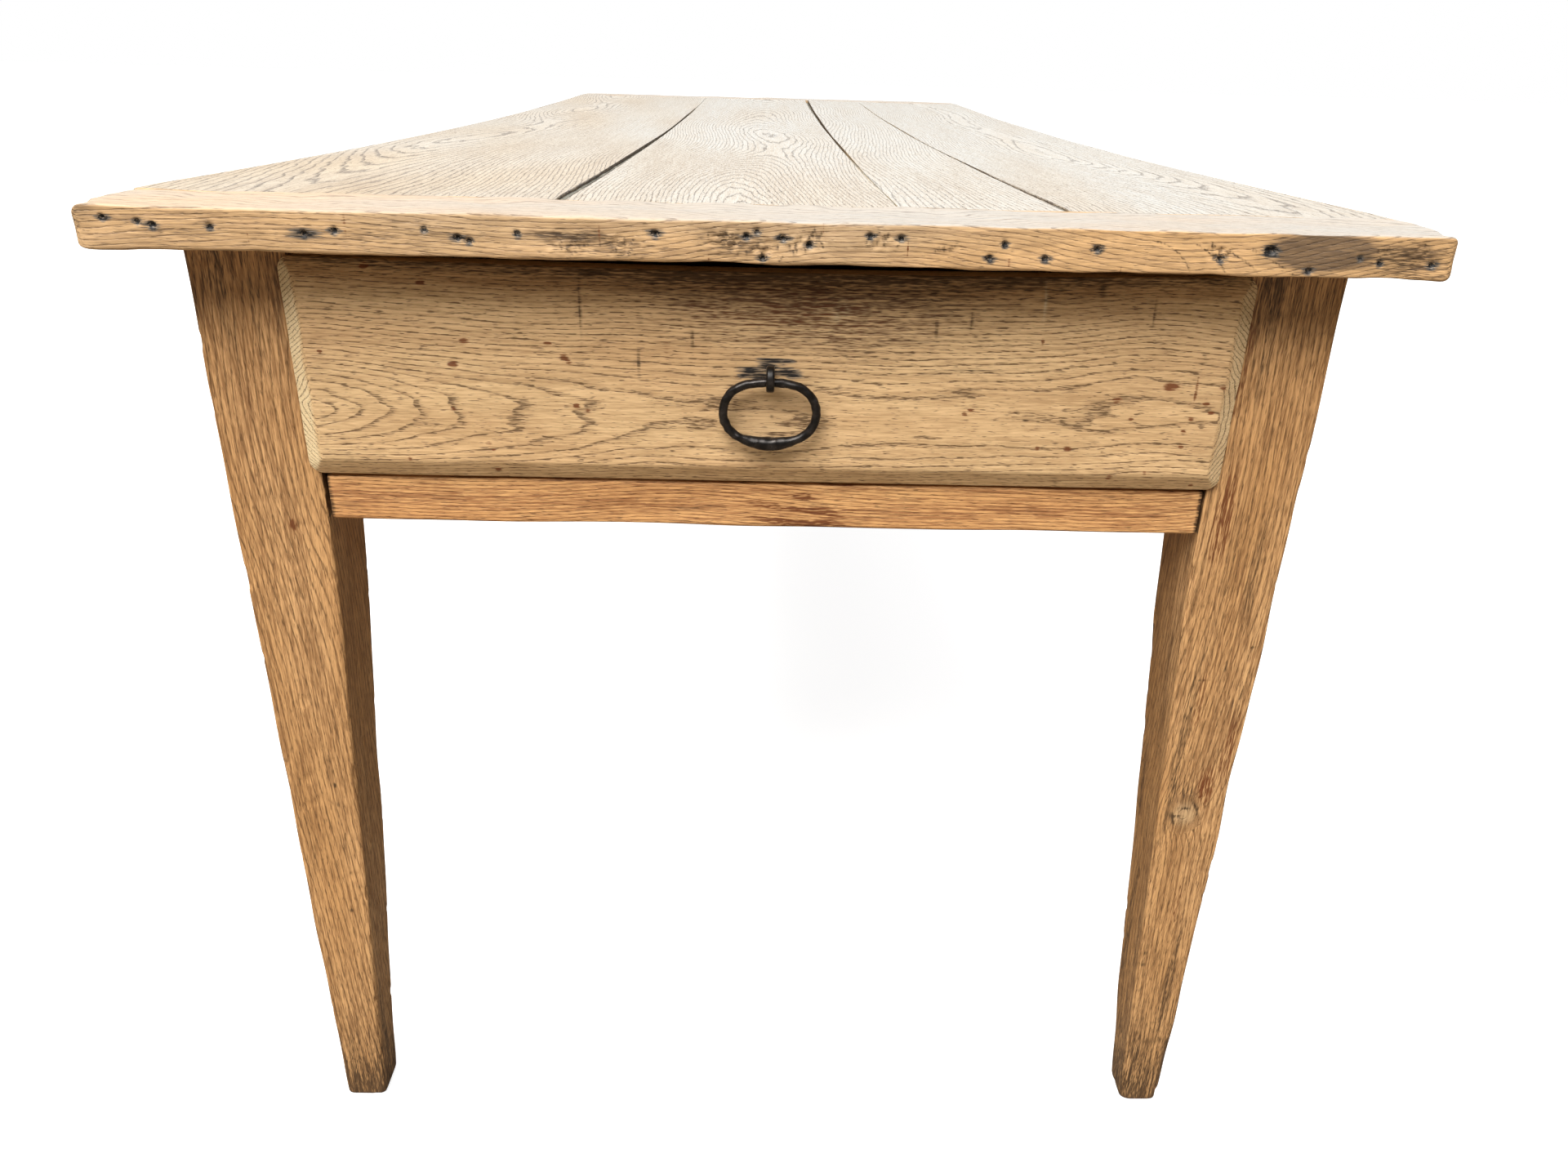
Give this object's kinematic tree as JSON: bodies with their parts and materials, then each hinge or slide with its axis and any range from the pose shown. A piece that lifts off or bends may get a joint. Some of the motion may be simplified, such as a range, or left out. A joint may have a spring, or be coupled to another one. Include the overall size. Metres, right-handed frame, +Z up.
{
  "type": "tavern table",
  "caption": "Long oak kitchen table: boarded top with breadboard ends, tapered legs, pegged frame, and a dovetailed end drawer with an iron drop-ring pull.",
  "frame": {"origin": "on the floor under the middle of the table top", "axes": "+Z up, +Y along the table's length away from the drawer end, +X to the right as seen from the drawer end"},
  "size_m": [0.8, 2.05, 0.76],
  "materials": {
    "top_oak": "old oak, scrubbed and bleached, dry",
    "frame_oak": "old oak, stripped, faintly waxed",
    "inner_oak": "sawn oak, unfinished, darkened by age",
    "peg_oak": "riven oak, end grain showing",
    "drawer_front_oak": "old oak, stripped and dry, raised grain",
    "drawer_box_oak": "planed oak, unfinished",
    "fastener_iron": "old iron, lightly rusted",
    "forged_iron": "hand-forged iron, dark and worn smooth"
  },
  "bodies": {
    "table": {"leg_front_left": "frame_oak", "leg_front_right": "frame_oak", "leg_back_left": "frame_oak", "leg_back_right": "frame_oak", "side_rail_left": "frame_oak", "side_rail_right": "frame_oak", "back_rail": "frame_oak", "drawer_rail": "frame_oak", "cross_bearer": "inner_oak", "drawer_runner_left": "inner_oak", "drawer_runner_right": "inner_oak", "drawer_guide_left": "inner_oak", "drawer_guide_right": "inner_oak", "top_cleat_front_left": "inner_oak", "top_cleat_front_right": "inner_oak", "top_cleat_back_left": "inner_oak", "top_cleat_back_right": "inner_oak", "top_batten": "inner_oak", "top_spline_1": "inner_oak", "top_spline_2": "inner_oak", "top_spline_3": "inner_oak", "rail_pegs_left": "peg_oak", "rail_pegs_right": "peg_oak", "back_rail_pegs": "peg_oak", "top_screws": "fastener_iron", "top_board_1": "top_oak", "top_board_2": "top_oak", "top_board_3": "top_oak", "top_board_4": "top_oak", "breadboard_end_front": "top_oak", "breadboard_end_back": "top_oak"},
    "drawer": {"drawer_front": "drawer_front_oak", "drawer_side_left": "drawer_box_oak", "drawer_side_right": "drawer_box_oak", "drawer_back": "drawer_box_oak", "drawer_bottom_1": "drawer_box_oak", "drawer_bottom_2": "drawer_box_oak", "drawer_bottom_3": "drawer_box_oak", "bottom_nails": "fastener_iron", "ring_staple": "forged_iron"},
    "ring": {"pull_ring": "forged_iron"}
  },
  "joints": [
    {"name": "drawer_slide", "type": "slide", "parent": "table", "child": "drawer", "axis": [0, -1, 0], "range_m": [0, 0.4]},
    {"name": "ring_swing", "type": "hinge", "parent": "drawer", "child": "ring", "pos_m": [0, -0.9985, 0.6588], "axis": [-1, 0, 0], "range_deg": [0, 170]}
  ]
}
